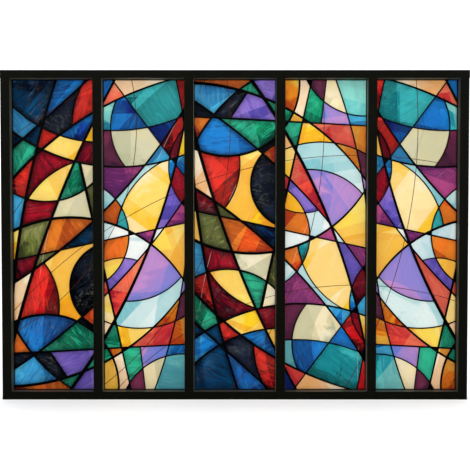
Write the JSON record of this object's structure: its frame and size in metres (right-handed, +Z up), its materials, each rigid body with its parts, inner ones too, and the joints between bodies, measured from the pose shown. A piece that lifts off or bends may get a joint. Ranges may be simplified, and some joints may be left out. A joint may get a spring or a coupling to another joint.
{
  "type": "interior glass partition",
  "caption": "Black framed interior partition with tall fixed lights of coloured leaded glass, built into a wall opening or on a low wall.",
  "frame": {"origin": "the middle of the bottom rail's underside, where the partition stands on a low wall or sill", "axes": "+X along the partition to the viewer's right, -Y out of the front towards the viewer, +Z up"},
  "size_m": [1.5326, 0.05, 1.08],
  "materials": {
    "frame_paint": "satin black powder coat on aluminium profiles",
    "cap_plastic": "matt black",
    "stained_glass": "safety glass coloured as painted stained glass, smooth",
    "seal_rubber": "matt black",
    "lead_strip": "blackened lead, low sheen"
  },
  "bodies": {
    "root": {"top_rail": "frame_paint", "bottom_rail": "frame_paint", "left_jamb": "frame_paint", "right_jamb": "frame_paint", "mullion_1": "frame_paint", "mullion_2": "frame_paint", "mullion_3": "frame_paint", "mullion_4": "frame_paint", "top_cover": "frame_paint", "bottom_cover": "frame_paint", "left_cover": "frame_paint", "right_cover": "frame_paint", "mullion_cover_1": "frame_paint", "mullion_cover_2": "frame_paint", "mullion_cover_3": "frame_paint", "mullion_cover_4": "frame_paint", "end_cap_left": "cap_plastic", "end_cap_right": "cap_plastic", "pane_1": "stained_glass", "pane_2": "stained_glass", "pane_3": "stained_glass", "pane_4": "stained_glass", "pane_5": "stained_glass", "front_gasket_1": "seal_rubber", "front_gasket_2": "seal_rubber", "front_gasket_3": "seal_rubber", "front_gasket_4": "seal_rubber", "front_gasket_5": "seal_rubber", "rear_gasket_1": "seal_rubber", "rear_gasket_2": "seal_rubber", "rear_gasket_3": "seal_rubber", "rear_gasket_4": "seal_rubber", "rear_gasket_5": "seal_rubber", "front_leads_1": "lead_strip", "front_leads_2": "lead_strip", "front_leads_3": "lead_strip", "front_leads_4": "lead_strip", "front_leads_5": "lead_strip", "rear_leads_1": "lead_strip", "rear_leads_2": "lead_strip", "rear_leads_3": "lead_strip", "rear_leads_4": "lead_strip", "rear_leads_5": "lead_strip"}
  },
  "joints": []
}
